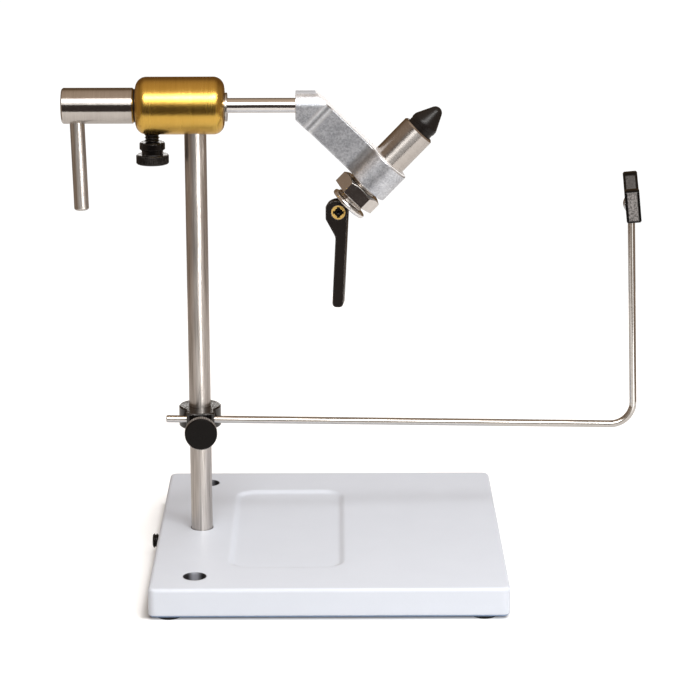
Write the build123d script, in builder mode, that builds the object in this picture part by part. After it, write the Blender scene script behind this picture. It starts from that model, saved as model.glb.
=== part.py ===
from build123d import *
import os
from math import cos, pi, radians, sin, sqrt, tan

# A rotary fly tying vise on a pedestal base, in millimetres, +Z up. The origin lies on the table, under the middle
# of the overall reach and in the plane of the stem. +X runs from the crank to the cradle, and -Y faces the tyer.

os.makedirs("parts", exist_ok=True)

# Fits and cuts
press_gap = 0.02  # round a piece that is held fast
running_gap = 0.05  # round a piece that turns or slides
face_gap = 0.05  # between faces that move past each other
slack = 0.3  # round a piece that only has to pass
cut_over = 5.0  # how far a cut runs past what it cuts
edge_break = 0.3  # broken edges of turned and sawn pieces

# Screws
screw_d = 6.35  # thumb screws and the stem's set screw
small_screw_d = 4.76  # the set screws on the shaft
thread_pitch = 1.27
thread_depth = 0.6
thread_crest = 0.25  # flat of a ridge, as a share of the pitch
socket_share = 0.5  # hex socket across its corners, of the screw's diameter
socket_depth_share = 0.45  # hex socket's depth, of the screw's diameter
socket_sides = 6
tension_shank = 10.5
cradle_shank = 12.45
thumb_collar_d = 11.0
thumb_collar_len = 3.4
thumb_neck_d = 9.2
thumb_neck_len = 1.98
thumb_disc_d = 14.1
thumb_disc_len = 4.07
thumb_edge = 0.45
knurl_count = 54
knurl_depth = 0.28

# Pedestal base
base_width = 152.4
base_depth = 158.75
base_thick = 12.7
base_corner_r = 3.2
base_edge_r = 1.5
base_break = 0.8
stem_inset = 19.05  # stem's axis from the plate's left edge
stem_seat = 11.0  # depth of the stem's socket
side_hole_d = 9.7
side_hole_inset = 15.875  # centres from the front and back edges
tray_width = 49.9
tray_length = 105.0
tray_depth = 1.2
tray_corner_r = 9.0
tray_slope = 60.0  # tray's side, from the upright
tray_cove_r = 3.0
tray_gap = 13.75  # tray's left side from the stem's axis
foot_d = 11.0
foot_high = 1.9
foot_edge_r = 0.6
foot_inset = 7.8  # centres from the plate's front and back edges
foot_left_inset = 8.5
foot_right_inset = 10.6
set_screw_proud = 3.2

# Stem and bearing head
stem_d = 9.525
axis_height = 191.15  # rotation axis above the plate's top
head_d = 24.75
head_rear = 25.4  # head's back end from the stem's axis
head_front = 12.7
head_edge_r = 4.75
bush_d = 9.525
front_bush_len = 9.525
rear_bush_len = 3.175
stem_cover = 0.8  # metal between the stem's top and the front bush
tension_back = 18.6  # tension screw's axis behind the stem's axis
pad_len = 2.0

# Shaft and crank
shaft_d = 6.35
thrust_d = 14.3
thrust_thick = 0.55
hub_d = 15.4
hub_len = 30.9
hub_chamfer = 0.6
hub_screw_inset = 9.0  # from the hub's inner end
pin_d = 6.35
pin_inset = 6.1  # pin's axis from the hub's outer end
pin_drop = 45.5  # pin's lower end below the rotation axis
pin_lean = 1.3  # towards the stem
pin_seat = 4.2  # pin's upper end above the rotation axis
pin_end_r = 0.9
pin_wall = 1.2  # metal between the pin's hole and the shaft's
ring_d = 12.35
ring_thick = 0.9
ring_groove = 0.6
ring_gap = 0.3  # from the head's front end to the ring
ring_sag = 0.7  # the clip's outline hangs below the shaft's axis

# Offset arm. Drops are distances down the collet's axis from where it crosses the rotation axis.
collet_angle = 46.0  # collet's axis above the horizontal
jaw_reach = 106.7  # that crossing, from the stem's axis
arm_start = 43.3  # arm's back face, from the stem's axis
arm_socket = 10.0
arm_meet = 4.7471  # where the arm's middle meets the shaft's axis, from its back face
arm_high = 14.2875
arm_block_width = 12.7
arm_web_width = 10.0
arm_step_at = 35.4  # middle of the step from block to web, from the collet's axis
arm_step_len = 5.0
arm_boss_d = 20.6
arm_blend_r = 6.0
arm_edge = 0.4
arm_screw_inset = 5.2

# Collet
sleeve_d = 15.2
sleeve_drop = 14.6
sleeve_edge = 0.8
mouth_d = 13.9
mouth_len = 3.0
chamber_d = 12.7
chamber_len = 17.0
tail_d = 12.7
tail_len = 10.35
nut_gap = 1.6  # from the arm's lower face to the nut
nut_width = 18.0
nut_high = 6.35
nut_turn = 26.8
nut_sides = 6
nut_chamfer_share = 0.96  # flat of the end face by the arm, of the width across flats
nut_chamfer_angle = 30.0
washer_d = 17.0
washer_thick = 1.9
washer_edge_r = 0.7
washer_sag = 0.7  # how far the loose washer hangs down the arm's slope

# Jaws and draw bar
jaw_turn = -6.0  # jaws, draw bar and lever about the collet's axis
jaw_tip_drop = 1.95
jaw_tip_r = 2.9
jaw_cone_angle = 26.2
jaw_head_d = 12.26
jaw_head_len = 10.65
jaw_shoulder_r = 3.0
jaw_body_d = 11.8
jaw_len = 27.0
jaw_slit = 0.6
hook_drop = 23.0  # top of the flange that the jaws hook on
hook_d = 8.0
hook_thick = 1.8
hook_play = 0.1
draw_d = 4.76
spring_drop = 18.5
spring_d = 2.4
spring_wall = 0.5
spring_pocket = 1.6  # depth in each jaw

# Cam lever, from its pivot
cam_flat = 4.25
cam_toe = 2.45
cam_lift = 1.7
lever_swing = 90.0
cam_steps = 8
heel_r = 2.0
knee_drop = 3.0
neck_drop = 10.8
blade_left = 1.28
blade_lean = 2.7  # blade towards the crank
blade_right = 4.0
toe_drop = 0.7
blade_len = 41.7
blade_tip_r = 1.8
knee_r = 1.0
neck_r = 4.0
lever_thick = 9.525
lever_edge = 0.3
eye_d = 7.9
eye_thick = 5.9
eye_gap = 0.25  # between the draw bar's eye and the fork's cheeks
pivot_d = 6.1
pivot_bore = 3.6
pivot_notch = 1.3
pivot_notch_depth = 0.9
pivot_notch_reach = 2.35
pivot_notches = 4

# Hackle cradle
cradle_turn = 3.6  # cradle about the stem
rod_height = 52.55  # rod's axis above the plate's top, at the stem
collar_lift = 0.15  # collar's middle above the rod's axis
collar_d = 18.5
collar_high = 9.3
collar_nose_width = 12.26
collar_nose_len = 14.4  # from the stem's axis to the nose's face
collar_nose_r = 1.2
collar_edge = 0.5
rod_d = 3.175
rod_tail = 15.0  # rod's left end from the stem's axis
rod_reach = 193.2  # rod's bend corner from the stem's axis
rod_dip = 1.95
rod_bend_r = 9.7
rod_lean = 2.1
rod_rise = 103.5  # from the bend's corner to the rod's top
rod_edge = 0.4
fork_turn = -8.95  # rest about the rod's upright
fork_tilt = 4.0  # rest's plate against the upright, towards the jaws
fork_shift = 0.85  # middle of the plate's foot from the upright's axis
fork_width = 44.45
fork_high = 14.4
fork_thick = 6.35
fork_horn = 4.7
fork_notch = 6.0
fork_notch_r = 5.0
fork_corner_r = 1.6
fork_edge = 0.6
fork_socket = 7.0
fork_screw_rise = 4.2
fork_screw_d = 3.0
fork_screw_head_d = 5.7
fork_screw_head_len = 0.95

# Places along the main axes
up = (Align.CENTER, Align.CENTER, Align.MIN)
left_reach = head_rear + thrust_thick + 2 * face_gap + hub_len
right_reach = rod_reach * cos(radians(rod_dip)) * cos(radians(cradle_turn)) + rod_d / 2
stem_x = (left_reach - right_reach) / 2
base_left = stem_x - stem_inset
plate_low = foot_high
plate_top = plate_low + base_thick
axis_z = plate_top + axis_height
shaft_plane = Plane(origin=(stem_x, 0, axis_z), x_dir=(0, 1, 0), z_dir=(1, 0, 0))
hub_end = -head_rear - thrust_thick - 2 * face_gap
pin_at = hub_end - hub_len + pin_inset
shaft_back = pin_at + pin_d / 2 + pin_wall
shaft_front = arm_start + arm_socket
stem_top = axis_z - bush_d / 2 - stem_cover
shaft_relief = shaft_d / 2 + slack
pad_top = axis_z - shaft_d / 2 - face_gap

# The collet's frame: local Z up the collet's axis, local X down the arm, local Y away from the tyer
lean = radians(collet_angle)
collet_plane = Plane(
    origin=(stem_x + jaw_reach, 0, axis_z), x_dir=(sin(lean), 0, -cos(lean)), z_dir=(cos(lean), 0, sin(lean))
)
collet_axis = Axis(collet_plane.origin, collet_plane.z_dir)
arm_low = (jaw_reach - arm_start - arm_meet) * cos(lean) + arm_high / 2
tail_end = arm_low + tail_len
washer_low = tail_end + face_gap + washer_thick
pivot_drop = washer_low + face_gap + cam_flat
guide_d = draw_d + 2 * slack
slot_width = eye_thick + 2 * eye_gap


def section(plane):
    """The plane through another plane's normal, with radius along X and height along Y."""
    return Plane(origin=plane.origin, x_dir=plane.x_dir, z_dir=-plane.y_dir)


def spun(plane, angle):
    """A plane turned about its own normal."""
    return plane.moved(Rotation(0, 0, angle))


def save(piece, name):
    """Label a finished piece and write its file."""
    piece.part.label = name
    export_step(piece.part, f"parts/{name}.step")


def thread(radius, low, high):
    """Points up the side of a screw thread, drawn as ridges about one pitch apart."""
    count = round((high - low) / thread_pitch)
    step = (high - low) / count
    points = []
    for ridge in range(count):
        foot = low + ridge * step
        points.append((radius - thread_depth, foot))
        points.append((radius, foot + (1 - thread_crest) / 2 * step))
        points.append((radius, foot + (1 + thread_crest) / 2 * step))
    points.append((radius - thread_depth, high))
    return points


def set_screw(plane, diameter, length):
    """A socket set screw with its point on the plane and its socket at the other end."""
    with BuildPart() as screw:
        with BuildSketch(section(plane)):
            with BuildLine():
                Polyline((0, 0), *thread(diameter / 2, 0, length), (0, length), close=True)
            make_face()
        revolve(axis=Axis(plane.origin, plane.z_dir))
        with BuildSketch(plane.offset(length)):
            RegularPolygon(diameter * socket_share / 2, socket_sides)
        extrude(amount=-diameter * socket_depth_share, mode=Mode.SUBTRACT)
    return screw


def thumb_screw(plane, shank):
    """A knurled thumb screw with its tip on the plane and its threaded shank up to its collar."""
    collar_end = shank + thumb_collar_len
    disc_start = collar_end + thumb_neck_len
    disc_end = disc_start + thumb_disc_len
    disc_r = thumb_disc_d / 2
    collar_r = thumb_collar_d / 2
    with BuildPart() as screw:
        with BuildSketch(section(plane)):
            with BuildLine():
                Polyline(
                    (0, 0),
                    *thread(screw_d / 2, 0, shank),
                    (collar_r - thumb_edge, shank),
                    (collar_r, shank + thumb_edge),
                    (collar_r, collar_end - thumb_edge),
                    (collar_r - thumb_edge, collar_end),
                    (thumb_neck_d / 2, collar_end),
                    (thumb_neck_d / 2, disc_start),
                    (disc_r - thumb_edge, disc_start),
                    (disc_r, disc_start + thumb_edge),
                    (disc_r, disc_end - thumb_edge),
                    (disc_r - thumb_edge, disc_end),
                    (0, disc_end),
                    close=True,
                )
            make_face()
        revolve(axis=Axis(plane.origin, plane.z_dir))
        with BuildSketch(plane.offset(disc_start)):
            with PolarLocations(disc_r, knurl_count):
                Rectangle(knurl_depth * sqrt(2), knurl_depth * sqrt(2), rotation=45)
        extrude(amount=thumb_disc_len, mode=Mode.SUBTRACT)
    return screw


# Pedestal base
set_screw_plane = Plane(
    origin=(stem_x - stem_d / 2 - press_gap, 0, plate_low + base_thick / 2), z_dir=(-1, 0, 0)
)
with BuildPart(Plane.XY.offset(plate_low)) as base_plate:
    with BuildSketch(Plane.XY.offset(plate_low)):
        with Locations((base_left + base_width / 2, 0)):
            RectangleRounded(base_width, base_depth, base_corner_r)
    extrude(amount=base_thick)
    fillet(base_plate.faces().sort_by(Axis.Z)[-1].edges(), base_edge_r)
    chamfer(base_plate.faces().sort_by(Axis.Z)[0].edges(), base_break)
    with BuildSketch(Plane.XY.offset(plate_top)):
        with Locations((stem_x + tray_gap + tray_width / 2, 0)):
            RectangleRounded(tray_width, tray_length, tray_corner_r)
    extrude(amount=-tray_depth, taper=tray_slope, mode=Mode.SUBTRACT)
    plate_face = base_plate.faces().filter_by(Axis.Z).sort_by(Axis.Z)[-1]
    fillet(plate_face.inner_wires()[0].edges(), tray_cove_r)
    tray_floor = base_plate.faces().filter_by(Axis.Z).sort_by(Axis.Z)[-2]
    fillet(tray_floor.edges(), tray_cove_r)
    side_hole_y = base_depth / 2 - side_hole_inset
    with Locations((stem_x, side_hole_y, base_thick), (stem_x, -side_hole_y, base_thick)):
        Hole(side_hole_d / 2)
    with Locations((stem_x, 0, base_thick)):
        Hole(stem_d / 2 + press_gap, stem_seat)
    with BuildSketch(Plane(origin=(stem_x, 0, plate_low + base_thick / 2), z_dir=(-1, 0, 0))):
        Circle(screw_d / 2 + press_gap)
    extrude(amount=stem_inset + cut_over, mode=Mode.SUBTRACT)
save(base_plate, "base_plate")

with BuildPart() as rubber_feet:
    with Locations((base_left + (base_width + foot_left_inset - foot_right_inset) / 2, 0)):
        with GridLocations(
            base_width - foot_left_inset - foot_right_inset, base_depth - 2 * foot_inset, 2, 2
        ):
            Cylinder(foot_d / 2, foot_high, align=up)
    fillet(rubber_feet.edges().filter_by(GeomType.CIRCLE).group_by(Axis.Z)[0], foot_edge_r)
save(rubber_feet, "rubber_feet")

stem_set_screw = set_screw(set_screw_plane, screw_d, stem_inset - stem_d / 2 - press_gap + set_screw_proud)
save(stem_set_screw, "stem_set_screw")

# Stem and bearing head
stem_low = plate_top - stem_seat
with BuildPart(Plane(origin=(stem_x, 0, stem_low))) as stem:
    Cylinder(stem_d / 2, stem_top - stem_low, align=up)
    chamfer(stem.edges().filter_by(GeomType.CIRCLE), edge_break)
save(stem, "stem")

tension_plane = Plane(origin=(stem_x - tension_back, 0, pad_top - pad_len - face_gap), z_dir=(0, 0, -1))
with BuildPart(shaft_plane.offset(-head_rear)) as head_housing:
    head_len = head_rear + head_front
    Cylinder(head_d / 2, head_len, align=up)
    fillet(head_housing.edges().filter_by(GeomType.CIRCLE), head_edge_r)
    Hole(shaft_relief)
    Hole(bush_d / 2 + press_gap, rear_bush_len)
    with Locations((0, 0, head_len)):
        Hole(bush_d / 2 + press_gap, front_bush_len)
    with BuildSketch(Plane(origin=(stem_x, 0, stem_top + press_gap), z_dir=(0, 0, -1))):
        Circle(stem_d / 2 + press_gap)
    extrude(amount=head_d, mode=Mode.SUBTRACT)
    with BuildSketch(Plane(origin=(stem_x - tension_back, 0, axis_z), z_dir=(0, 0, -1))):
        Circle(screw_d / 2 + running_gap)
    extrude(amount=head_d, mode=Mode.SUBTRACT)
save(head_housing, "head_housing")

with BuildPart(shaft_plane.offset(head_front - front_bush_len)) as front_bush:
    Cylinder(bush_d / 2, front_bush_len, align=up)
    Hole(shaft_d / 2 + running_gap)
save(front_bush, "front_bush")

with BuildPart(shaft_plane.offset(-head_rear)) as rear_bush:
    Cylinder(bush_d / 2, rear_bush_len, align=up)
    Hole(shaft_d / 2 + running_gap)
save(rear_bush, "rear_bush")

with BuildPart(shaft_plane.offset(hub_end + face_gap)) as thrust_washer:
    Cylinder(thrust_d / 2, thrust_thick + face_gap, align=up)
    Hole(shaft_d / 2 + running_gap)
save(thrust_washer, "thrust_washer")

tension_screw = thumb_screw(tension_plane, tension_shank)
save(tension_screw, "tension_screw")

with BuildPart(Plane(origin=(stem_x - tension_back, 0, pad_top - pad_len))) as tension_pad:
    Cylinder(screw_d / 2 - running_gap, pad_len, align=up)
save(tension_pad, "tension_pad")

# Shaft and crank
ring_at = head_front + ring_gap
with BuildPart(shaft_plane.offset(shaft_back)) as rotary_shaft:
    Cylinder(shaft_d / 2, shaft_front - shaft_back, align=up)
    chamfer(rotary_shaft.edges().filter_by(GeomType.CIRCLE), edge_break)
    with BuildSketch(shaft_plane.offset(ring_at - press_gap)):
        Circle(shaft_d / 2 + cut_over)
        Circle(shaft_d / 2 - ring_groove, mode=Mode.SUBTRACT)
    extrude(amount=ring_thick + 2 * press_gap, mode=Mode.SUBTRACT)
save(rotary_shaft, "rotary_shaft")

with BuildPart(shaft_plane.offset(ring_at)) as retaining_ring:
    with Locations((0, -ring_sag)):
        Cylinder(ring_d / 2, ring_thick, align=up)
    Hole(shaft_d / 2 - ring_groove + press_gap)
save(retaining_ring, "retaining_ring")

pin_plane = Plane(
    origin=(stem_x + pin_at, 0, axis_z), z_dir=(-sin(radians(pin_lean)), 0, cos(radians(pin_lean)))
)
hub_screw_plane = Plane(
    origin=(stem_x + hub_end - hub_screw_inset, shaft_d / 2 + press_gap, axis_z), z_dir=(0, 1, 0)
)
with BuildPart(shaft_plane.offset(hub_end - hub_len)) as crank_hub:
    Cylinder(hub_d / 2, hub_len, align=up)
    chamfer(crank_hub.edges().filter_by(GeomType.CIRCLE), hub_chamfer)
    with Locations((0, 0, hub_len)):
        Hole(shaft_d / 2 + press_gap, hub_end - shaft_back + press_gap)
    with BuildSketch(pin_plane.offset(pin_seat + press_gap)):
        Circle(pin_d / 2 + press_gap)
    extrude(amount=-hub_d - cut_over, mode=Mode.SUBTRACT)
    with BuildSketch(hub_screw_plane.offset(-shaft_d / 2)):
        Circle(small_screw_d / 2 + press_gap)
    extrude(amount=hub_d, mode=Mode.SUBTRACT)
save(crank_hub, "crank_hub")

hub_set_screw = set_screw(hub_screw_plane, small_screw_d, (hub_d - shaft_d) / 2 - edge_break)
save(hub_set_screw, "hub_set_screw")

with BuildPart(pin_plane.offset(-pin_drop)) as crank_pin:
    Cylinder(pin_d / 2, pin_drop + pin_seat, align=up)
    fillet(crank_pin.edges().filter_by(GeomType.CIRCLE).sort_by(Axis.Z)[0], pin_end_r)
    chamfer(crank_pin.edges().filter_by(GeomType.CIRCLE).sort_by(Axis.Z)[-1], edge_break)
save(crank_pin, "crank_pin")

# Offset arm: block and web with a step between them, blended into a round boss
arm_plane = collet_plane.offset(-arm_low)
block_half = arm_block_width / 2
web_half = arm_web_width / 2
boss_r = arm_boss_d / 2
step_start = -arm_step_at - arm_step_len / 2
step_end = -arm_step_at + arm_step_len / 2
blend_at = -sqrt((boss_r + arm_blend_r) ** 2 - (web_half + arm_blend_r) ** 2)
blend_share = boss_r / (boss_r + arm_blend_r)
boss_touch = (blend_at * blend_share, (web_half + arm_blend_r) * blend_share)
arm_screw_plane = Plane(
    origin=(stem_x + arm_start + arm_screw_inset, shaft_d / 2 + press_gap, axis_z), z_dir=(0, 1, 0)
)
with BuildPart() as offset_arm:
    with BuildSketch(arm_plane):
        with BuildLine() as plan:
            Line((arm_start - jaw_reach, 0), (arm_start - jaw_reach, block_half))
            Line((arm_start - jaw_reach, block_half), (step_start, block_half))
            step_in = TangentArc(
                (step_start, block_half), (-arm_step_at, (block_half + web_half) / 2), tangent=(1, 0)
            )
            TangentArc(step_in @ 1, (step_end, web_half), tangent=step_in % 1)
            Line((step_end, web_half), (blend_at, web_half))
            TangentArc((blend_at, web_half), boss_touch, tangent=(1, 0))
            ThreePointArc(boss_touch, (0, boss_r), (boss_r, 0))
            mirror(plan.line, about=Plane.XZ)
        make_face()
    extrude(amount=arm_high)
    chamfer(offset_arm.faces().filter_by(collet_axis).edges(), arm_edge)
    split(bisect_by=shaft_plane.offset(arm_start), keep=Keep.TOP)
    with BuildSketch(shaft_plane.offset(arm_start)):
        with Locations((0, arm_boss_d / 2)):
            Rectangle(2 * arm_boss_d, arm_boss_d)
        Circle(block_half, mode=Mode.SUBTRACT)
    extrude(amount=jaw_reach - arm_start, mode=Mode.SUBTRACT)
    with BuildSketch(shaft_plane.offset(arm_start)):
        Circle(shaft_d / 2 + press_gap)
    extrude(amount=arm_socket + press_gap, mode=Mode.SUBTRACT)
    with Locations(collet_plane):
        Hole(sleeve_d / 2 + press_gap)
    with BuildSketch(arm_screw_plane.offset(-shaft_d / 2)):
        Circle(small_screw_d / 2 + press_gap)
    extrude(amount=arm_block_width, mode=Mode.SUBTRACT)
save(offset_arm, "offset_arm")

arm_set_screw = set_screw(arm_screw_plane, small_screw_d, (arm_block_width - shaft_d) / 2 - edge_break)
save(arm_set_screw, "arm_set_screw")

# Collet sleeve with its threaded tail, nut and washer
chamber_end = sleeve_drop + chamber_len
sleeve_r = sleeve_d / 2
tail_r = tail_d / 2
with BuildPart() as collet_sleeve:
    with BuildSketch(section(collet_plane)):
        with BuildLine():
            Polyline(
                (guide_d / 2, -tail_end),
                *thread(tail_r, -tail_end, -arm_low),
                (sleeve_r, -arm_low),
                (sleeve_r, -sleeve_drop - sleeve_edge),
                (sleeve_r - sleeve_edge, -sleeve_drop),
                (mouth_d / 2, -sleeve_drop),
                (chamber_d / 2, -sleeve_drop - mouth_len),
                (chamber_d / 2, -chamber_end),
                (guide_d / 2, -chamber_end),
                close=True,
            )
        make_face()
    revolve(axis=collet_axis)
save(collet_sleeve, "collet_sleeve")

nut_low = arm_low + nut_gap + nut_high
nut_plane = spun(collet_plane.offset(-nut_low), nut_turn)
nut_corner_r = nut_width / sqrt(3)
nut_flat_r = nut_width / 2 * nut_chamfer_share
nut_chamfer = (nut_corner_r - nut_flat_r) * tan(radians(nut_chamfer_angle))
with BuildPart() as collet_nut:
    with BuildSketch(section(nut_plane)):
        with BuildLine():
            Polyline(
                (tail_r + running_gap, 0),
                (nut_corner_r, 0),
                (nut_corner_r, nut_high - nut_chamfer),
                (nut_flat_r, nut_high),
                (tail_r + running_gap, nut_high),
                close=True,
            )
        make_face()
    revolve(axis=collet_axis)
    with BuildSketch(nut_plane):
        RegularPolygon(nut_width / 2, nut_sides, major_radius=False, rotation=30)
    extrude(amount=nut_high, mode=Mode.INTERSECT)
save(collet_nut, "collet_nut")

with BuildPart(Plane(collet_plane.location * Pos(washer_sag, 0, -washer_low))) as cam_washer:
    Cylinder(washer_d / 2, washer_thick, align=up)
    fillet(cam_washer.edges().filter_by(GeomType.CIRCLE), washer_edge_r)
    Hole(draw_d / 2 + washer_sag + running_gap)
save(cam_washer, "cam_washer")

# Draw bar, its hook inside the jaws and its eye inside the lever's fork
jaw_plane = spun(collet_plane, jaw_turn)
hook_low = hook_drop + hook_thick
pivot_plane = section(jaw_plane.offset(-pivot_drop))
with BuildPart() as draw_bar:
    with BuildSketch(section(jaw_plane)):
        with BuildLine():
            Polyline(
                (0, -hook_drop),
                (hook_d / 2, -hook_drop),
                (hook_d / 2, -hook_low),
                (draw_d / 2, -hook_low),
                (draw_d / 2, -pivot_drop),
                (0, -pivot_drop),
                close=True,
            )
        make_face()
    revolve(axis=collet_axis)
    with BuildSketch(pivot_plane):
        Circle(eye_d / 2)
    extrude(amount=eye_thick / 2, both=True)
    with BuildSketch(pivot_plane):
        Circle(pivot_d / 2 + press_gap)
    extrude(amount=eye_thick, both=True, mode=Mode.SUBTRACT)
save(draw_bar, "draw_bar")

# Jaws: a bullet split down the middle, hollow where it hooks on the draw bar
jaw_end = jaw_tip_drop + jaw_len
jaw_head_end = jaw_tip_drop + jaw_head_len
jaw_head_r = jaw_head_d / 2
cone = radians(jaw_cone_angle)
tip_centre = -jaw_tip_drop - jaw_tip_r
tip_touch = (jaw_tip_r * cos(cone), tip_centre + jaw_tip_r * sin(cone))
tip_turn = (cone + pi / 2) / 2
tip_middle = (jaw_tip_r * cos(tip_turn), tip_centre + jaw_tip_r * sin(tip_turn))
cone_end = (jaw_head_r, tip_touch[1] - (jaw_head_r - tip_touch[0]) / tan(cone))
spring_plane = section(jaw_plane.offset(-spring_drop))


def jaw(side):
    """One half of the jaw, on the side of the slit that side gives."""
    slit_face = Plane(origin=jaw_plane.origin, x_dir=jaw_plane.x_dir, z_dir=jaw_plane.y_dir * side)
    with BuildPart() as half:
        with BuildSketch(section(jaw_plane)) as outline:
            with BuildLine():
                ThreePointArc((0, -jaw_tip_drop), tip_middle, tip_touch)
                Polyline(
                    tip_touch,
                    cone_end,
                    (jaw_head_r, -jaw_head_end),
                    (jaw_body_d / 2, -jaw_head_end),
                    (jaw_body_d / 2, -jaw_end),
                    (guide_d / 2, -jaw_end),
                    (guide_d / 2, -hook_low - hook_play),
                    (hook_d / 2 + slack, -hook_low - hook_play),
                    (hook_d / 2 + slack, -hook_drop + hook_play),
                    (0, -hook_drop + hook_play),
                    (0, -jaw_tip_drop),
                )
            make_face()
            fillet(outline.vertices().sort_by_distance(cone_end)[0], jaw_shoulder_r)
        revolve(axis=collet_axis)
        with BuildSketch(spring_plane):
            Circle(spring_d / 2 + running_gap)
        extrude(amount=jaw_slit / 2 + spring_pocket, both=True, mode=Mode.SUBTRACT)
        split(bisect_by=slit_face.offset(jaw_slit / 2), keep=Keep.TOP)
    return half


jaw_near = jaw(-1)
save(jaw_near, "jaw_near")
jaw_far = jaw(1)
save(jaw_far, "jaw_far")

with BuildPart() as jaw_spring:
    with BuildSketch(spring_plane):
        Circle(spring_d / 2)
        Circle(spring_d / 2 - spring_wall, mode=Mode.SUBTRACT)
    extrude(amount=jaw_slit / 2 + spring_pocket - hook_play, both=True)
save(jaw_spring, "jaw_spring")

# Cam lever, drawn with its blade straight down from the pivot
lever_face = spun(pivot_plane, 90 - collet_angle)
swing = radians(lever_swing)
cam_rise = cam_lift / swing


def cam_point(turn):
    """The point of the cam that bears on the washer after the lever has swung by a turn."""
    bearing = lean + turn
    reach = cam_flat + cam_rise * turn
    return (reach * cos(bearing) - cam_rise * sin(bearing), reach * sin(bearing) + cam_rise * cos(bearing))


cam_points = [cam_point(swing * step / cam_steps) for step in range(cam_steps + 1)]
cam_headings = [(-sin(lean), cos(lean)), (-sin(lean + swing), cos(lean + swing))]
toe = (cam_flat * cos(lean) + cam_toe * sin(lean), cam_flat * sin(lean) - cam_toe * cos(lean))
heel_turn = lean + swing + pi / 2
back_x = cam_points[-1][0] - heel_r * (1 + sin(heel_turn))
heel = (back_x, cam_points[-1][1] + heel_r * cos(heel_turn))
knee = (back_x, -knee_drop)
neck = (-blade_left, -neck_drop)
slot_floor = eye_d / 2 + slack
with BuildPart() as cam_lever:
    with BuildSketch(lever_face) as outline:
        with BuildLine():
            Line(toe, cam_points[0])
            Spline(*cam_points, tangents=cam_headings)
            TangentArc(cam_points[-1], heel, tangent=cam_headings[1])
            Polyline(
                heel,
                knee,
                neck,
                (-blade_left - (blade_len - neck_drop) * tan(radians(blade_lean)), -blade_len),
                (blade_right - blade_len * tan(radians(blade_lean)), -blade_len),
                (blade_right, toe[1] - toe_drop),
                toe,
            )
        make_face()
        fillet(outline.vertices().group_by(Axis.Y)[0], blade_tip_r)
        fillet(outline.vertices().sort_by_distance(knee)[0], knee_r)
        fillet(outline.vertices().sort_by_distance(neck)[0], neck_r)
    extrude(amount=lever_thick / 2, both=True)
    chamfer(cam_lever.faces().filter_by(Axis(lever_face.origin, lever_face.z_dir)).edges(), lever_edge)
    with BuildSketch(lever_face):
        with Locations((0, blade_len / 2 - slot_floor)):
            Rectangle(2 * blade_len, blade_len)
    extrude(amount=slot_width / 2, both=True, mode=Mode.SUBTRACT)
    with BuildSketch(lever_face):
        Circle(pivot_d / 2 + running_gap)
    extrude(amount=lever_thick, both=True, mode=Mode.SUBTRACT)
save(cam_lever, "cam_lever")

with BuildPart() as pivot_bush:
    with BuildSketch(lever_face):
        Circle(pivot_d / 2)
        Circle(pivot_bore / 2, mode=Mode.SUBTRACT)
    extrude(amount=lever_thick / 2, both=True)
    with BuildSketch(lever_face.offset(lever_thick / 2)):
        with PolarLocations(0, pivot_notches):
            with Locations((pivot_notch_reach / 2, 0)):
                Rectangle(pivot_notch_reach, pivot_notch)
    extrude(amount=-pivot_notch_depth, mode=Mode.SUBTRACT)
save(pivot_bush, "pivot_bush")

with BuildPart(lever_face.offset(-lever_thick / 2)) as pivot_screw:
    pivot_screw_len = lever_thick - pivot_notch_depth
    Cylinder(pivot_bore / 2 - press_gap, pivot_screw_len, align=up)
    with BuildSketch(lever_face.offset(pivot_screw_len - lever_thick / 2)):
        RegularPolygon(pivot_bore * socket_share / 2, socket_sides)
    extrude(amount=-pivot_bore * socket_depth_share, mode=Mode.SUBTRACT)
save(pivot_screw, "pivot_screw")

# Hackle cradle: local X out along the rod, local -Y towards the thumb screw
cradle_plane = spun(Plane(origin=(stem_x, 0, plate_top + rod_height)), cradle_turn)
rod_off = stem_d / 2 + rod_d / 2 + running_gap
rod_plane = Plane(
    origin=cradle_plane.from_local_coords((0, -rod_off, 0)),
    x_dir=cradle_plane.x_dir,
    z_dir=-cradle_plane.y_dir,
)
dip = radians(rod_dip)
tilt = radians(rod_lean)
rod_end = (-rod_tail * cos(dip), rod_tail * sin(dip))
rod_corner = (rod_reach * cos(dip), -rod_reach * sin(dip))
rod_top = (rod_corner[0] - rod_rise * sin(tilt), rod_corner[1] + rod_rise * cos(tilt))
thumb_plane = Plane(
    origin=cradle_plane.from_local_coords((0, -rod_off - rod_d / 2 - face_gap, 0)), z_dir=-cradle_plane.y_dir
)
collar_plane = cradle_plane.offset(collar_lift - collar_high / 2)
with BuildPart() as cradle_collar:
    with BuildSketch(collar_plane) as outline:
        with Locations((0, -collar_nose_len / 2)):
            Rectangle(collar_nose_width, collar_nose_len)
        fillet(outline.vertices().group_by(Axis.Y)[0], collar_nose_r)
        Circle(collar_d / 2)
    extrude(amount=collar_high)
    chamfer(cradle_collar.faces().filter_by(Axis.Z).edges(), collar_edge)
    with BuildSketch(collar_plane):
        Circle(stem_d / 2 + running_gap)
    extrude(amount=collar_high, mode=Mode.SUBTRACT)
    with Locations(Plane(origin=rod_plane.origin, z_dir=rod_plane.x_dir * cos(dip) - rod_plane.y_dir * sin(dip))):
        Hole(rod_d / 2 + running_gap)
    with BuildSketch(thumb_plane.offset(-rod_d / 2)):
        Circle(screw_d / 2 + running_gap)
    extrude(amount=collar_nose_len, mode=Mode.SUBTRACT)
save(cradle_collar, "cradle_collar")

cradle_screw = thumb_screw(thumb_plane, cradle_shank)
save(cradle_screw, "cradle_screw")

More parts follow.
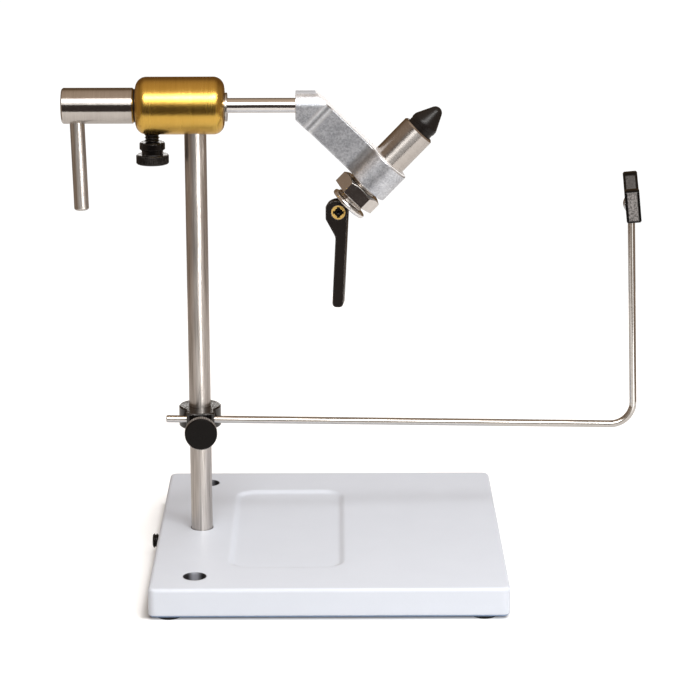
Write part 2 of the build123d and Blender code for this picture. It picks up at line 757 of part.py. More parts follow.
with BuildPart() as cradle_rod:
    with BuildLine(rod_plane) as rod_path:
        FilletPolyline(rod_end, rod_corner, rod_top, radius=rod_bend_r)
    with BuildSketch(Plane(origin=rod_path.line @ 0, z_dir=rod_path.line % 0)):
        Circle(rod_d / 2)
    sweep(path=rod_path.line)
    chamfer(cradle_rod.faces().filter_by(GeomType.PLANE).edges(), rod_edge)
save(cradle_rod, "cradle_rod")

fork_rise = rod_rise - fork_socket + face_gap
fork_foot = (rod_corner[0] - fork_rise * sin(tilt), rod_corner[1] + fork_rise * cos(tilt), 0)
fork_plane = spun(
    Plane(origin=rod_plane.from_local_coords(fork_foot), x_dir=rod_plane.x_dir, z_dir=rod_path.line % 1), fork_turn
)
fork_body = Plane(fork_plane.location * Pos(fork_shift, 0, 0) * Rotation(0, -fork_tilt, 0))
fork_face = Plane(origin=fork_body.origin, x_dir=fork_body.y_dir, z_dir=fork_body.x_dir)
fork_half = fork_width / 2
with BuildPart() as cradle_fork:
    with BuildSketch(fork_face) as outline:
        with BuildLine():
            Polyline(
                (-fork_half, 0),
                (fork_half, 0),
                (fork_half, fork_high),
                (fork_half - fork_horn, fork_high),
                (0, fork_high - fork_notch),
                (fork_horn - fork_half, fork_high),
                (-fork_half, fork_high),
                close=True,
            )
        make_face()
        fillet(outline.vertices().sort_by_distance((0, fork_high - fork_notch))[0], fork_notch_r)
        fillet(outline.vertices().filter_by_position(Axis.X, -fork_half, -fork_half), fork_corner_r)
        fillet(outline.vertices().filter_by_position(Axis.X, fork_half, fork_half), fork_corner_r)
    extrude(amount=fork_thick / 2, both=True)
    chamfer(cradle_fork.faces().filter_by(Axis(fork_face.origin, fork_face.z_dir)).edges(), fork_edge)
    with BuildSketch(fork_plane.offset(-cut_over)):
        Circle(rod_d / 2 + running_gap)
    extrude(amount=fork_socket + cut_over, mode=Mode.SUBTRACT)
    with BuildSketch(fork_face.offset(-fork_thick)):
        with Locations((0, fork_screw_rise)):
            Circle(fork_screw_d / 2 + press_gap)
    extrude(amount=fork_thick, mode=Mode.SUBTRACT)
save(cradle_fork, "cradle_fork")

fork_screw_in = fork_screw_rise * tan(radians(fork_tilt)) - fork_shift - rod_d / 2 - slack
fork_screw_plane = Plane(
    origin=fork_face.from_local_coords((0, fork_screw_rise, fork_screw_in)), z_dir=-fork_face.z_dir
)
fork_screw_seat = fork_thick / 2 + fork_screw_in
with BuildPart() as fork_screw:
    with BuildSketch(section(fork_screw_plane)):
        with BuildLine():
            Polyline(
                (0, fork_screw_seat + fork_screw_head_len),
                (0, 0),
                (fork_screw_d / 2, 0),
                (fork_screw_d / 2, fork_screw_seat),
                (fork_screw_head_d / 2, fork_screw_seat),
            )
            TangentArc(
                (0, fork_screw_seat + fork_screw_head_len), (fork_screw_head_d / 2, fork_screw_seat), tangent=(1, 0)
            )
        make_face()
    revolve(axis=Axis(fork_screw_plane.origin, fork_screw_plane.z_dir))
save(fork_screw, "fork_screw")
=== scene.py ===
"""Looks of the fly tying vise: camera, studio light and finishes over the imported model. Metres, Z up."""
import math

import bpy
from mathutils import Matrix, Vector

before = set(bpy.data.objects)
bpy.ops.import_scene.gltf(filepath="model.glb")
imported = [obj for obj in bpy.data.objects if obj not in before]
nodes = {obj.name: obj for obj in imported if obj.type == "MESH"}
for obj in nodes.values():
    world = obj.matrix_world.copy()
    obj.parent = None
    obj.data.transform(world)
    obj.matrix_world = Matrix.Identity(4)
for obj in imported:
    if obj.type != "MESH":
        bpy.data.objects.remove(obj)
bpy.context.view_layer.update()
scene = bpy.context.scene


# Camera
def place_camera(place, yaw, pitch, roll, lens):
    """A camera at a place, in degrees: yaw turns it right of +Y, pitch tips it down, roll is clockwise."""
    yaw, pitch, roll = (math.radians(angle) for angle in (yaw, pitch, roll))
    ahead = Vector((math.sin(yaw) * math.cos(pitch), math.cos(yaw) * math.cos(pitch), -math.sin(pitch)))
    level = Vector((math.cos(yaw), -math.sin(yaw), 0))
    down = ahead.cross(level)
    right = math.cos(roll) * level + math.sin(roll) * down
    up = math.sin(roll) * level - math.cos(roll) * down
    data = bpy.data.cameras.new("photo_camera")
    data.lens = lens
    data.sensor_width = 36
    data.clip_start = 0.01
    camera = bpy.data.objects.new("photo_camera", data)
    scene.collection.objects.link(camera)
    turn = Matrix((right, up, -ahead)).transposed().to_4x4()
    camera.matrix_world = Matrix.Translation(place) @ turn
    scene.camera = camera


place_camera((-0.008434, -1.062124, 0.384137), yaw=0.3386, pitch=15.1369, roll=0.0813, lens=128.35)
scene.view_settings.view_transform = "Standard"
scene.view_settings.look = "None"


# Shader maths
class Value:
    """A number that changes over a surface. Arithmetic on it adds Math nodes."""

    def __init__(self, finish, socket):
        self.finish = finish
        self.socket = socket

    def math(self, operation, *others):
        return self.finish.math(operation, self, *others)

    def __add__(self, other):
        return self.math("ADD", other)

    def __radd__(self, other):
        return self.math("ADD", other)

    def __sub__(self, other):
        return self.math("SUBTRACT", other)

    def __rsub__(self, other):
        return self.finish.math("SUBTRACT", other, self)

    def __mul__(self, other):
        return self.math("MULTIPLY", other)

    def __rmul__(self, other):
        return self.math("MULTIPLY", other)

    def __pow__(self, other):
        return self.math("POWER", other)

    def __abs__(self):
        return self.math("ABSOLUTE")

    def rise(self, low, high):
        """0 below low, 1 above high, smooth between; falls instead where low is the larger."""
        settings = {"interpolation_type": "SMOOTHSTEP"}
        return self.finish.node("MapRange", settings, {0: self, 1: low, 2: high, 3: 0.0, 4: 1.0})[0]

    def within(self, reach, blend):
        """1 up to a reach, falling to 0 over a blend beyond it."""
        return self.rise(reach + blend, reach)


class Finish:
    """A procedural material: a Principled shader and the nodes that feed it."""

    def __init__(self, name, **sockets):
        self.material = bpy.data.materials.new(name)
        self.material.use_nodes = True
        self.tree = self.material.node_tree
        self.shader = self.tree.nodes["Principled BSDF"]
        for socket, value in sockets.items():
            self.set(socket.replace("_", " "), value)

    def node(self, kind, settings=None, inputs=None):
        """Adds a node, sets its settings, then its sockets' values or links, and gives its outputs."""
        new = self.tree.nodes.new("ShaderNode" + kind)
        for key, value in (settings or {}).items():
            setattr(new, key, value)
        for key, value in (inputs or {}).items():
            self.feed(new.inputs[key], value)
        return [Value(self, socket) for socket in new.outputs]

    def feed(self, socket, value):
        if isinstance(value, Value):
            self.tree.links.new(value.socket, socket)
        else:
            socket.default_value = value

    def set(self, socket, value):
        if isinstance(value, tuple) and len(value) == 3:
            value = (*value, 1)
        self.feed(self.shader.inputs[socket], value)

    def math(self, operation, *values):
        return self.node("Math", {"operation": operation}, dict(enumerate(values)))[0]

    def place(self):
        """The Object coordinates as a vector."""
        return self.node("TexCoord")[3]

    def place_from(self, point):
        """The Object coordinates measured from a point."""
        return self.node("VectorMath", {"operation": "SUBTRACT"}, {0: self.place(), 1: point})[0]

    def facing(self):
        """The true normal."""
        return self.node("NewGeometry")[1]

    def axes(self, vector):
        """x, y and z of a vector."""
        return self.node("SeparateXYZ", inputs={0: vector})

    def vector(self, x, y, z):
        return self.node("CombineXYZ", inputs={0: x, 1: y, 2: z})[0]

    def along(self, vector, way):
        """How far a vector reaches along a direction."""
        parts = [part * share for part, share in zip(self.axes(vector), way) if share]
        return sum(parts[1:], parts[0])

    def noise(self, vector, scale, detail, rough=0.5):
        settings = {"noise_dimensions": "3D"}
        inputs = {"Vector": vector, "Scale": scale, "Detail": detail, "Roughness": rough}
        return self.node("TexNoise", settings, inputs)[0]

    def drawn_noise(self, vector, way, lengthwise, crosswise, detail, rough=0.6):
        """A noise drawn out along a direction: one scale along it, another across it."""
        extra = self.along(vector, way) * (lengthwise - crosswise)
        parts = [part * crosswise + extra * share for part, share in zip(self.axes(vector), way)]
        return self.noise(self.vector(*parts), 1.0, detail, rough)

    def mix(self, share, low, high):
        """A colour that goes from low to high as the share goes from 0 to 1."""
        new = self.tree.nodes.new("ShaderNodeMix")
        new.data_type = "RGBA"
        self.feed(new.inputs[0], share)
        for socket, colour in ((new.inputs[6], low), (new.inputs[7], high)):
            self.feed(socket, colour if isinstance(colour, Value) else (*colour, 1))
        return Value(self, new.outputs[2])

    def bump(self, height, strength, distance, normal=None):
        inputs = {"Strength": strength, "Distance": distance, "Height": height}
        if normal is not None:
            inputs["Normal"] = normal
        self.set("Normal", self.node("Bump", inputs=inputs)[0])

    def soft_normal(self, radius):
        """The normal with sharp edges rounded to a radius."""
        return self.node("Bevel", {"samples": 6}, {"Radius": radius})[0]

    def edge_share(self, rounded):
        """How near a sharp edge a point is, 0 to 1: how far the rounded normal turns from the true one."""
        settings = {"operation": "DOT_PRODUCT"}
        agreement = self.node("VectorMath", settings, {0: rounded, 1: self.facing()})[1]
        return (1 - agreement).rise(0.0, 0.22)


def radius_of(u, v):
    """The distance from an axis of a point that is u and v off it: the root of the squares' sum."""
    return (u * u + v * v) ** 0.5


# Places and directions on the part
stem_x = -0.0686723
screw_x = stem_x - 0.0186  # the tension screw's axis
hole_y = 0.0635  # the accessory holes, either side of the stem
plate_x = -0.0137
plate_half_wide = 0.0762
plate_half_deep = 0.0794
collet_lean = math.radians(46)
across = (1.0, 0.0, 0.0)
upright = (0.0, 0.0, 1.0)
collet_way = (math.cos(collet_lean), 0.0, math.sin(collet_lean))
arm_way = (math.sin(collet_lean), 0.0, -math.cos(collet_lean))
collet_at = -0.115571  # the collet's axis, along arm_way
step_before_collet = 0.0354
hollow_before_collet = 0.0095
pivot_way = (-0.075191, -0.994522, 0.072612)
pivot_face = 0.016843  # the bush's near face, along pivot_way
rest_foot = (0.121751, 0.005435, 0.157092)
rest_wide = (0.093135, 0.995637, 0.005701)
rest_up = (-0.105889, 0.004212, 0.994369)
rest_thick = (0.990007, -0.093214, 0.105819)
knob_middle = (-0.0681676, -0.0080216, 0.06715)
knob_way = (0.062791, -0.998027, 0.0)
knob_side = (-0.998027, -0.062791, 0.0)
noise_steepness = 0.7  # mean slope of a noise of scale 1


# Finishes
def powder_coat():
    """Pale powder coat with an orange-peel skin, and painted shade: greyer on its edges, blue on its lower
    rim, dark in its bores and in a ring at the stem's foot.
    """
    pale = (0.575, 0.613, 0.68)
    paler = (0.605, 0.643, 0.71)
    # painted shade: the edges are greyer
    painted_edge_shade_grey = (0.42, 0.45, 0.5)
    # painted shade: a blue band on the lower rim
    painted_rim_shade_blue = (0.2, 0.3, 0.48)
    # painted shade: a dark ring round the stem's foot
    painted_foot_shade_black = (0.012, 0.011, 0.011)
    # painted shade in the bores, and a painted lighter grey where their far wall catches light
    painted_bore_shade_black = (0.016, 0.015, 0.016)
    painted_bore_light_grey = (0.3, 0.31, 0.35)
    coat = Finish("powder_coat", IOR=1.5, Specular_IOR_Level=0.4)
    place = coat.place()
    x, y, z = coat.axes(place)
    peel = coat.noise(place, scale=900, detail=3)
    cloud = coat.noise(place, scale=60, detail=3)
    rounded = coat.soft_normal(radius=0.0014)
    off = x - stem_x
    # where the painted shade of the bores falls, and inside them the painted light and shade of their wall
    painted_bore_shade = radius_of(off, abs(y) - hole_y).within(0.0049, blend=0.00015)
    # where the painted shade ring round the stem's foot falls
    painted_foot_shade = radius_of(off, y).within(0.0049, blend=0.0003)
    # where the painted blue shade falls: the lower rim
    rim = z.within(0.0024, blend=0.0007)
    painted_bore_light_and_shade = coat.mix(abs(off).within(0.0004, blend=0.003), painted_bore_shade_black, painted_bore_light_grey)
    body = coat.mix(cloud, pale, paler)
    body = coat.mix(coat.edge_share(rounded), body, painted_edge_shade_grey)
    body = coat.mix(rim, body, painted_rim_shade_blue)
    body = coat.mix(painted_foot_shade, body, painted_foot_shade_black)
    coat.set("Base Color", coat.mix(painted_bore_shade, body, painted_bore_light_and_shade))
    coat.set("Roughness", 0.36 + 0.12 * peel)
    coat.bump(peel, strength=0.3, distance=0.00012, normal=rounded)
    return coat.material


def turned_metal(name, way, bright, dark, rough, slope):
    """Metal off a lathe: fine rings round the axis tilt the surface by a slope, under broader faint bands."""
    ring_scale = 7000
    metal = Finish(name, Metallic=1.0)
    place = metal.place()
    ring = metal.drawn_noise(place, way, ring_scale, crosswise=70, detail=2)
    band = metal.drawn_noise(place, way, lengthwise=1100, crosswise=30, detail=3)
    patch = metal.noise(place, scale=120, detail=2)
    shine = (0.5 * ring + 0.25 * band + 0.25 * patch).rise(0.25, 0.75)
    metal.set("Base Color", metal.mix(shine, dark, bright))
    metal.set("Roughness", rough - 0.04 + 0.08 * band)
    metal.bump(ring, strength=1.0, distance=slope / (noise_steepness * ring_scale))
    return metal.material


def drawn_metal(name, way, bright, dark, rough, slope=0.02, fine=1500):
    """Drawn rod: lengthwise lines, so many to the metre, that tint it and tilt its surface by a slope."""
    metal = Finish(name, Metallic=1.0)
    streak = metal.drawn_noise(metal.place(), way, lengthwise=30, crosswise=fine, detail=2)
    metal.set("Base Color", metal.mix(streak.rise(0.25, 0.75), dark, bright))
    metal.set("Roughness", rough + 0.08 * streak)
    metal.bump(streak, strength=1.0, distance=slope / (noise_steepness * fine))
    return metal.material


def notched_brass():
    """The pivot's brass face, with painted shade, black, in the notches behind it."""
    brass = (0.7, 0.46, 0.13)
    bright_brass = (0.85, 0.58, 0.18)
    # painted shade: black in the notches behind the face
    painted_notch_shade_black = (0.006, 0.005, 0.004)
    metal = Finish("pivot_brass", Metallic=0.7)
    place = metal.place()
    grain = metal.noise(place, scale=2500, detail=2)
    painted_notch_shade = metal.along(place, pivot_way).within(pivot_face - 0.0003, blend=0.0002)
    body = metal.mix(grain, brass, bright_brass)
    metal.set("Base Color", metal.mix(painted_notch_shade, body, painted_notch_shade_black))
    metal.set("Roughness", 0.44 + 0.1 * grain)
    metal.bump(grain, strength=0.2, distance=0.00004)
    return metal.material


def milled_aluminium():
    """Tumbled aluminium: a mottled grain and brighter edges, with painted light: a painted white highlight on
    faces turned up the collet's axis and either side of the step, painted grey on faces turned upward, and
    painted shade in the step, in the hollow and on the boss.
    """
    grey = (0.5, 0.525, 0.575)
    pale = (0.92, 0.95, 1.0)
    # painted highlight colour
    painted_highlight_white = (0.97, 0.98, 1.0)
    edge_white = (0.9, 0.91, 0.93)
    # painted shade colours for the boss, the step and the hollow
    boss_shade = (0.1, 0.1, 0.1)
    step_shade = (0.07, 0.066, 0.065)
    hollow_shade = (0.14, 0.125, 0.115)
    # painted grey for faces turned upward
    painted_crown_grey = (0.36, 0.37, 0.39)
    metal = Finish("milled_aluminium")
    place = metal.place()
    grain = metal.noise(place, scale=1300, detail=3, rough=0.65)
    cloud = metal.noise(place, scale=170, detail=3)
    rounded = metal.soft_normal(radius=0.0006)
    edge = metal.edge_share(rounded)
    facing = metal.facing()
    # painted light by facing: white on faces turned up the collet's axis, grey on faces turned upward
    painted_upper_highlight = metal.along(facing, collet_way).rise(0.75, 0.92)
    painted_crown_grey_share = metal.along(facing, upright).rise(0.78, 0.95)
    from_collet = metal.along(place, arm_way) - collet_at
    from_step = abs(from_collet + step_before_collet)
    # where painted shade falls: in the step, on the boss and in the hollow
    step = from_step.within(0.0001, blend=0.0014)
    # painted highlight: white bands either side of the step
    painted_step_highlight = abs(from_step - 0.0019).within(0.0001, blend=0.0011)
    boss = from_collet.rise(-0.006, -0.002)
    hollow = abs(from_collet + hollow_before_collet).within(0.001, blend=0.0025)
    body = metal.mix((0.65 * grain + 0.35 * cloud).rise(0.32, 0.68), grey, pale)
    body = metal.mix(boss * 0.15, body, boss_shade)
    body = metal.mix(painted_step_highlight * 0.6, body, painted_highlight_white)
    body = metal.mix(step * 0.7, body, step_shade)
    body = metal.mix(hollow * 0.75, body, hollow_shade)
    body = metal.mix(painted_crown_grey_share, body, painted_crown_grey)
    body = metal.mix(painted_upper_highlight, body, painted_highlight_white)
    metal.set("Base Color", metal.mix(edge, body, edge_white))
    # the faces with painted light are made nearly non-metallic
    metal.set("Metallic", 0.9 - 0.85 * metal.math("MAXIMUM", painted_upper_highlight, painted_crown_grey_share))
    metal.set("Roughness", 0.33 + 0.12 * grain - 0.1 * edge)
    metal.bump(grain, strength=0.3, distance=0.00008, normal=rounded)
    return metal.material


def black_oxide(name, rough, rub, sheen=0.22, bare=0.16, black=0.0045, axis=None):
    """Blackened steel: a warm black skin with a fine tooth, rubbed to bare steel on its edges; where that
    bare steel is pale, as on the lever, it is also a painted highlight.

    Where an axis is given, by its x, the skin has lathe rings round that upright axis.
    """
    skin_black = (black, 0.8 * black, 0.7 * black)
    bare_steel = (bare, 0.92 * bare, 0.87 * bare)
    steel = Finish(name, Metallic=0.0, IOR=1.5, Specular_IOR_Level=sheen)
    place = steel.place()
    tooth = steel.noise(place, scale=1400, detail=3, rough=0.6)
    cloud = steel.noise(place, scale=210, detail=2)
    rounded = steel.soft_normal(radius=0.0003)
    wear_and_highlight = steel.edge_share(rounded) * (tooth + cloud).rise(0.7, 1.25) * rub
    steel.set("Base Color", steel.mix(wear_and_highlight, skin_black, bare_steel))
    steel.set("Roughness", rough + 0.1 * tooth)
    if axis is None:
        steel.bump(tooth, strength=0.2, distance=0.00005, normal=rounded)
    else:
        x, y, _ = steel.axes(place)
        ring = steel.noise(steel.vector(radius_of(x - axis, y), 0.0, 0.0), scale=2500, detail=1)
        steel.bump(ring + 0.1 * tooth, strength=1.0, distance=0.00014, normal=rounded)
    return steel.material


def knurled_black(radius, face, count):
    """Blackened steel, its knurled rim rubbed bright on the crests, which is wear and also a painted
    highlight on the teeth: a cosine, count times round the axis.
    """
    skin_black = (0.0045, 0.0036, 0.0032)
    bare_steel = (0.55, 0.51, 0.48)
    steel = Finish("cradle_thumb_black", IOR=1.5, Specular_IOR_Level=0.16)
    place = steel.place_from(knob_middle)
    knob_third = tuple(Vector(knob_way).cross(Vector(knob_side)))
    u = steel.along(place, knob_side)
    v = steel.along(place, knob_third)
    turn = steel.math("ARCTAN2", v, u)
    crest = steel.math("COSINE", turn * count).rise(0.1, -0.7)
    rim = radius_of(u, v).rise(radius - 0.0005, radius - 0.0002)
    behind_face = steel.along(place, knob_way).rise(face, face - 0.0002)
    tooth = steel.noise(place, scale=1400, detail=3, rough=0.6)
    # bright crests: wear, and also a painted highlight on the knurl's teeth
    wear_and_highlight = rim * behind_face * crest * (0.4 + 0.6 * tooth)
    steel.set("Base Color", steel.mix(wear_and_highlight, skin_black, bare_steel))
    steel.set("Roughness", 0.24 + 0.1 * tooth)
    steel.bump(tooth, strength=0.2, distance=0.00005, normal=steel.soft_normal(radius=0.0002))
    return steel.material


def scuffed_black():
    """A black skin, scuffed grey by tumbling on its flats, most at the near end, but not along its edges."""
    skin_black = (0.003, 0.0026, 0.0024)
    scuff_grey = (0.3, 0.285, 0.28)
    steel = Finish("rest_black", IOR=1.5, Specular_IOR_Level=0.12)
    place = steel.place_from(rest_foot)
    grain = steel.noise(place, scale=1700, detail=3, rough=0.7)
    depth = steel.along(place, rest_wide)
    height = steel.along(place, rest_up)
    thick = abs(steel.along(place, rest_thick))
    tall = height.rise(0.0008, 0.0015) * height.within(0.0132, blend=0.0006)
    flat = thick.within(0.0018, blend=0.0005) * tall
    near = 0.35 + 0.65 * depth.rise(-0.017, -0.021)
    scuff = flat * near * (0.3 + 0.7 * grain.rise(0.38, 0.62))
    steel.set("Base Color", steel.mix(scuff, skin_black, scuff_grey))
    steel.set("Roughness", 0.25 + 0.25 * scuff)
    steel.bump(grain, strength=0.3, distance=0.00006)
    return steel.material


def plated_steel(name, tint, rough):
    """Bright plated steel with soft edges and faint clouding."""
    steel = Finish(name, Metallic=1.0)
    cloud = steel.noise(steel.place(), scale=300, detail=3)
    steel.set("Base Color", steel.mix(cloud, tuple(0.8 * part for part in tint), tint))
    steel.set("Roughness", rough + 0.1 * cloud)
    steel.bump(cloud, strength=0.06, distance=0.00004, normal=steel.soft_normal(radius=0.0003))
    return steel.material


def rubber():
    """Black rubber with a dull moulded skin."""
    black = (0.012, 0.012, 0.013)
    grey = (0.03, 0.03, 0.031)
    skin = Finish("black_rubber", IOR=1.45)
    grain = skin.noise(skin.place(), scale=800, detail=3)
    skin.set("Base Color", skin.mix(grain, black, grey))
    skin.set("Roughness", 0.6 + 0.2 * grain)
    skin.bump(grain, strength=0.3, distance=0.0001)
    return skin.material


def give_finish(material, *names):
    """Puts a finish on the named pieces."""
    for name in names:
        nodes[name].data.materials.clear()
        nodes[name].data.materials.append(material)


steel_tints = {"bright": (0.62, 0.585, 0.55), "dark": (0.47, 0.435, 0.405)}
stem_tints = {"bright": (0.62, 0.58, 0.545), "dark": (0.36, 0.33, 0.305)}
pin_tints = {"bright": (0.58, 0.545, 0.51), "dark": (0.38, 0.35, 0.32)}
shaft_tints = {"bright": (0.8, 0.77, 0.74), "dark": (0.7, 0.67, 0.64)}
rod_tints = {"bright": (0.62, 0.6, 0.575), "dark": (0.52, 0.5, 0.475)}
brass_tints = {"bright": (0.76, 0.475, 0.105), "dark": (0.62, 0.375, 0.07)}
bronze_tints = {"bright": (0.62, 0.36, 0.16), "dark": (0.45, 0.25, 0.1)}

give_finish(powder_coat(), "base_plate")
give_finish(rubber(), "rubber_feet")
give_finish(milled_aluminium(), "offset_arm")
give_finish(notched_brass(), "pivot_bush")
give_finish(scuffed_black(), "cradle_fork")
give_finish(knurled_black(radius=0.00705, face=0.0214, count=54), "cradle_screw")

ground_stem = drawn_metal("ground_stainless", upright, **stem_tints, rough=0.29, slope=0.06, fine=1100)
ground_pin = drawn_metal("ground_pin", upright, **pin_tints, rough=0.33, slope=0.06, fine=1100)
give_finish(ground_stem, "stem")
give_finish(ground_pin, "crank_pin")
give_finish(drawn_metal("polished_shaft", across, **shaft_tints, rough=0.06), "rotary_shaft")
give_finish(drawn_metal("drawn_bar", collet_way, **steel_tints, rough=0.16), "draw_bar")
give_finish(drawn_metal("polished_rod", across, **rod_tints, rough=0.03, slope=0.008), "cradle_rod")

bush_bronze = turned_metal("bush_bronze", across, **bronze_tints, rough=0.35, slope=0.1)
give_finish(bush_bronze, "front_bush", "rear_bush", "tension_pad")
give_finish(turned_metal("turned_stainless", across, **steel_tints, rough=0.14, slope=0.15), "crank_hub")
give_finish(turned_metal("turned_sleeve", collet_way, **steel_tints, rough=0.19, slope=0.1), "collet_sleeve")
give_finish(turned_metal("satin_brass", across, **brass_tints, rough=0.26, slope=0.15), "head_housing")

give_finish(plated_steel("plated_nut", (0.8, 0.765, 0.73), rough=0.1), "collet_nut")
give_finish(plated_steel("polished_washer", (0.95, 0.94, 0.93), rough=0.16), "cam_washer")
give_finish(plated_steel("ring_steel", (0.6, 0.57, 0.54), rough=0.22), "retaining_ring")
give_finish(plated_steel("spring_steel", (0.5, 0.48, 0.45), rough=0.25), "jaw_spring")
give_finish(plated_steel("screw_steel", (0.6, 0.62, 0.65), rough=0.2), "fork_screw")

black_steel = black_oxide("black_steel", rough=0.22, rub=0.35, sheen=0.3)
jaw_black = black_oxide("jaw_black", rough=0.26, rub=0.2, sheen=0.2, black=0.011)
# On the lever the edges, rubbed to a pale bare steel, are wear and also a painted highlight along its rims.
lever_black_wear_and_highlight = black_oxide("lever_black_wear_and_highlight", rough=0.25, rub=1.0, sheen=0.25, bare=0.6, black=0.013)
turned_wear = {"rub": 0.5, "bare": 0.3}
thumb_black = black_oxide("thumb_black", rough=0.16, sheen=0.36, black=0.003, axis=screw_x, **turned_wear)
collar_black = black_oxide("collar_black", rough=0.14, sheen=0.7, black=0.0035, axis=stem_x, **turned_wear)
give_finish(black_steel, "stem_set_screw", "hub_set_screw", "arm_set_screw", "pivot_screw")
give_finish(jaw_black, "jaw_near", "jaw_far")
give_finish(lever_black_wear_and_highlight, "cam_lever")
give_finish(thumb_black, "tension_screw")
give_finish(collar_black, "cradle_collar")
give_finish(black_oxide("washer_black", rough=0.5, rub=0.1), "thrust_washer")


# Studio
white = (1.0, 0.995, 0.985)
warm_tan = (1.0, 0.88, 0.76)
cool = (0.95, 0.98, 1.0)
sky = (0.9, 0.95, 1.0)


def softbox(name, place, target, size, watts, colour=white):
    """A rectangular area light, so wide and high, that looks at a point."""
    data = bpy.data.lights.new(name, "AREA")
    data.shape = "RECTANGLE"
    data.size, data.size_y = size
    data.energy = watts
    data.color = colour
    lamp = bpy.data.objects.new(name, data)
    scene.collection.objects.link(lamp)
    lamp.location = place
    lamp.rotation_euler = (Vector(target) - Vector(place)).to_track_quat("-Z", "Y").to_euler()
    return lamp


def flagged(lamp, *names, blocked=False):
    """Shuts a lamp off from the camera and from every piece but the named ones.

    The other pieces cast no shadow in its light unless it is blocked.
    """
    lit = bpy.data.collections.new(lamp.name + "_lit")
    for name in names:
        lit.objects.link(nodes[name])
    lamp.visible_camera = False
    lamp.light_linking.receiver_collection = lit
    if not blocked:
        lamp.light_linking.blocker_collection = lit


def paper_floor(half_wide, near, far, glow_near, glow_far, glow_under):
    """A flat sheet of white paper. The camera sees it brighter than the metal does, save by the plate."""
    mesh = bpy.data.meshes.new("paper_floor")
    corners = [(-half_wide, near, 0), (half_wide, near, 0), (half_wide, far, 0), (-half_wide, far, 0)]
    mesh.from_pydata(corners, [], [(0, 1, 2, 3)])
    paper = Finish("white_paper", Base_Color=(0.7, 0.7, 0.7), Roughness=0.9, Emission_Strength=1.0)
    paper.set("Specular IOR Level", 0.0)
    seen = paper.node("LightPath")[0]
    x, y, _ = paper.axes(paper.place())
    beside = (abs(x - plate_x) - plate_half_wide).rise(-0.001, 0.0035)
    before = (abs(y) - plate_half_deep).rise(-0.0065, -0.001)
    behind_front = y + plate_half_deep
    # painted light: an extra glow, seen only by the camera, on the floor just under the plate's front edge
    under = behind_front.within(0.002, blend=0.0045) * behind_front.rise(-0.0012, 0.0005)
    lift = glow_near + (glow_far - glow_near) * y.rise(0.05, far)
    glow = seen * (paper.math("MAXIMUM", beside, before) * lift + glow_under * under)
    paper.set("Emission Color", paper.mix(glow, (0.0, 0.0, 0.0), (1.0, 1.0, 1.0)))
    mesh.materials.append(paper.material)
    floor = bpy.data.objects.new("paper_floor", mesh)
    scene.collection.objects.link(floor)


class Room(Finish):
    """The world's light, made with the same maths as the finishes."""

    def __init__(self, name):
        self.material = bpy.data.worlds.new(name)
        self.material.use_nodes = True
        self.tree = self.material.node_tree
        self.shader = self.tree.nodes["Background"]


def dim_room(seen, front, overhead, behind, beside):
    """White to the camera. To all else a room: dark in front, warm above and beside, brown behind."""
    room = Room("studio_room")
    x, y, z = room.axes(room.node("TexCoord")[0])
    ahead = room.mix(z.rise(0.25, 0.97), front, overhead)
    back = room.mix(z.rise(0.6, 1.05), behind, overhead)
    around = room.mix((y + 0.6 * abs(x)).rise(-0.25, 0.35), ahead, back)
    around = room.mix(abs(x).rise(0.45, 0.85), around, beside)
    room.set("Color", room.mix(room.node("LightPath")[0], around, seen))
    scene.world = room.material


# The main softbox, brighter towards its middle, and a cool fill from above
head = (0.0, 0.0, 0.19)
softbox("front_box", (0.22, -0.891, 0.925), head, (1.2, 0.89), 7)
softbox("front_middle", (0.22, -0.82, 0.99), head, (1.15, 0.38), 6)
softbox("front_core", (0.22, -0.8, 1.0), head, (1.1, 0.14), 6)
top_fill = softbox("top_fill", (0.6, 0.25, 1.1), (0.0, 0.0, 0.0), (1.6, 1.2), 7.4, sky)
top_fill.visible_glossy = False

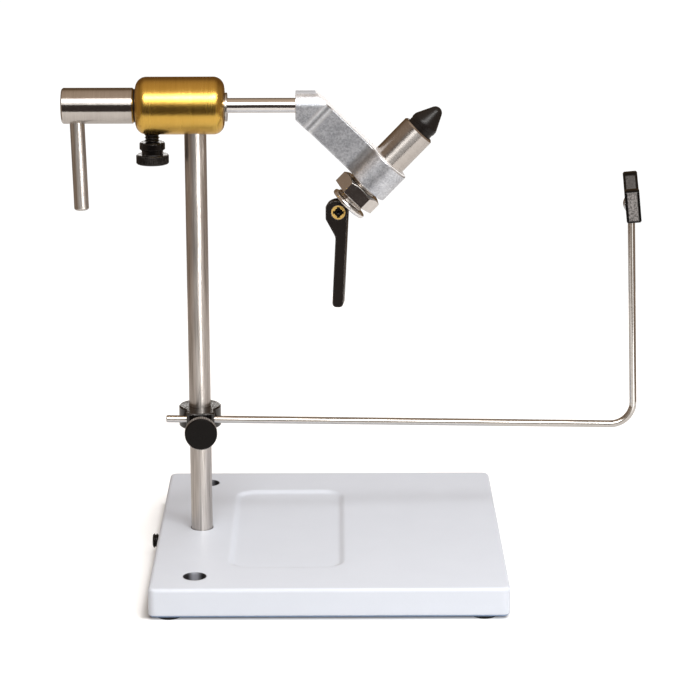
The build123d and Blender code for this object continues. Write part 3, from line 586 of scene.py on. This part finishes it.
# Strips and cards for single pieces
stem_middle = (-0.0687, 0.0, 0.1475)
strip_high = 0.695
right_strip = softbox("right_strip", (0.072, -0.29, 0.1475), stem_middle, (0.05, strip_high), 1.5)
middle_strip = softbox("middle_strip", (-0.1036, -0.499, 0.1475), stem_middle, (0.14, strip_high), 0.078)
left_strip = softbox("left_strip", (-0.264, -0.46, 0.1475), stem_middle, (0.4, strip_high), 0.06)
pin_strip = softbox("pin_strip", (-0.3, -0.478, 0.13), (-0.155, 0.0, 0.13), (0.22, 0.4), 0.125)
sleeve_card = softbox("sleeve_card", (0.1, -0.8, 0.12), (0.06, 0.0, 0.23), (1.2, 0.5), 1.1)
sleeve_strip = softbox("sleeve_strip", (-0.1, -0.8, 0.31), (0.03, 0.0, 0.19), (1.0, 0.22), 0.9)
collar_card = softbox("collar_card", (stem_x, 0.5, 0.188), (stem_x, 0.0, 0.072), (0.5, 0.03), 0.25)
screw_card = softbox("screw_card", (-0.0873, 0.5, 0.277), (-0.0873, 0.0, 0.182), (0.5, 0.05), 0.3)
rod_strip = softbox("rod_strip", (0.208, -0.175, 0.065), (0.12, 0.0, 0.065), (0.063, 0.13), 0.055)
rod_card = softbox("rod_card", (-0.02, -0.38, 0.15), (-0.02, 0.0, 0.15), (0.45, 0.3), 0.17, warm_tan)
plate_light = softbox("plate_light", (0.26, -0.3, 0.12), (0.02, -0.08, 0.01), (0.1, 0.1), 0.24, cool)
plate_light.visible_glossy = False
flagged(right_strip, "stem", "crank_pin")
flagged(middle_strip, "stem")
flagged(left_strip, "stem")
flagged(pin_strip, "crank_pin")
flagged(sleeve_card, "collet_sleeve", "cam_washer")
flagged(sleeve_strip, "collet_sleeve")
flagged(collar_card, "cradle_collar", blocked=True)
flagged(screw_card, "tension_screw", blocked=True)
flagged(rod_strip, "cradle_rod")
flagged(rod_card, "cradle_rod")
flagged(plate_light, "base_plate")

paper_floor(half_wide=0.36, near=-0.36, far=0.5, glow_near=0.42, glow_far=0.6, glow_under=0.3)
dim_room(
    seen=(1.05, 1.05, 1.05),
    front=(0.05, 0.04, 0.037),
    overhead=(0.56, 0.437, 0.336),
    behind=(0.14, 0.085, 0.042),
    beside=(0.305, 0.23, 0.175),
)
